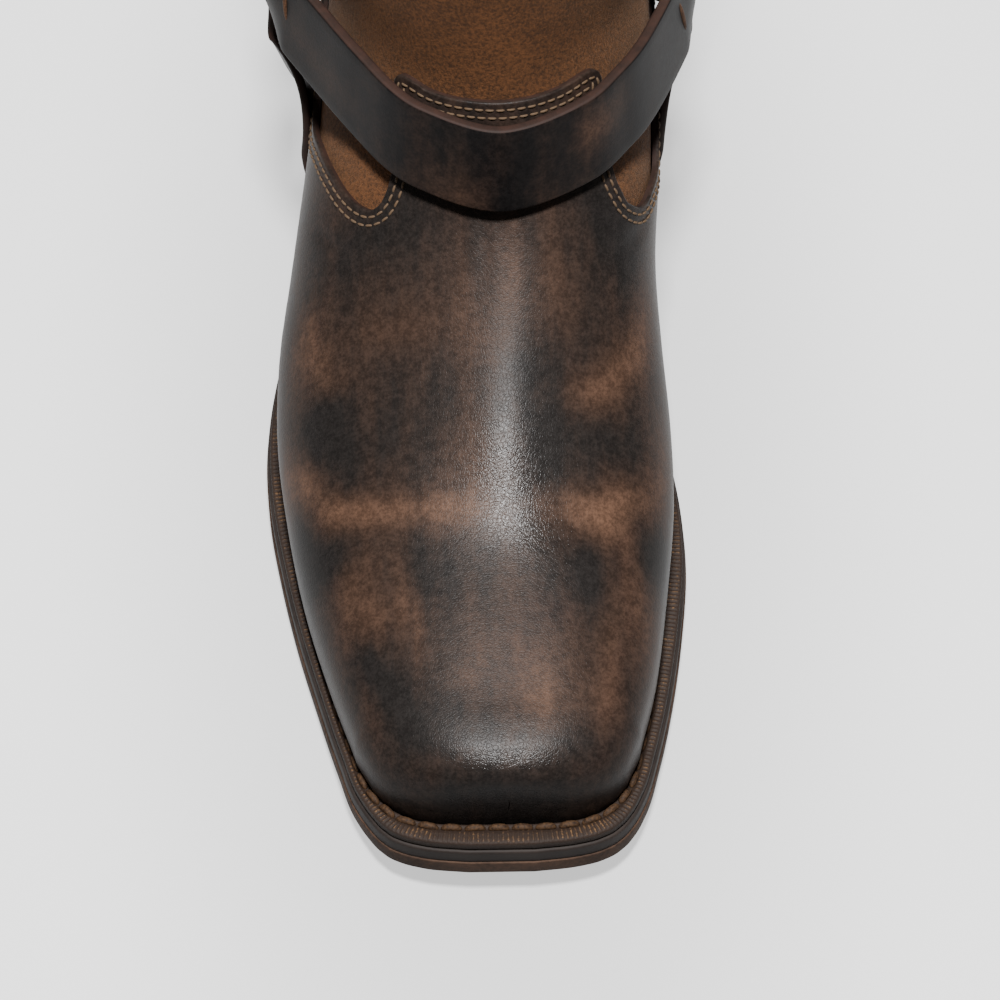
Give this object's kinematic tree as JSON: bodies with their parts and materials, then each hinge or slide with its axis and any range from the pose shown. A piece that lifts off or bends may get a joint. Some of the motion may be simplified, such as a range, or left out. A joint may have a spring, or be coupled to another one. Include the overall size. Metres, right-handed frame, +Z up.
{
  "type": "harness boot",
  "caption": "Square-toed leather harness boot for the right foot, with a suede shaft, instep and heel straps joined by rings, and a stacked heel.",
  "frame": {"origin": "on the floor under the middle of the heel, on the underside of the heel's top piece", "axes": "+X to the inner side of the foot, -Y towards the toe, +Z up"},
  "size_m": [0.115, 0.3075, 0.2621],
  "materials": {
    "outsole_leather": "dyed edge, matt",
    "midsole_leather": "dyed edge, matt",
    "welt_leather": "ribbed and stitched, matt",
    "stack_leather": "stacked lifts, satin",
    "top_piece_rubber": "matt",
    "insole_leather": "natural, matt",
    "suede": "suede nap",
    "rubbed_leather": "rubbed brown and black, satin",
    "strap_leather": "smooth, satin",
    "ring_steel": "polished and worn"
  },
  "bodies": {
    "root": {"outsole": "outsole_leather", "midsole": "midsole_leather", "welt": "welt_leather", "heel_stack": "stack_leather", "heel_top_piece": "top_piece_rubber", "insole": "insole_leather", "upper": "suede", "vamp": "rubbed_leather", "heel_counter": "rubbed_leather", "instep_strap": "strap_leather", "heel_strap": "strap_leather", "stirrup_lateral": "strap_leather", "stirrup_medial": "strap_leather", "ring_lateral": "ring_steel", "ring_medial": "ring_steel"}
  },
  "joints": []
}
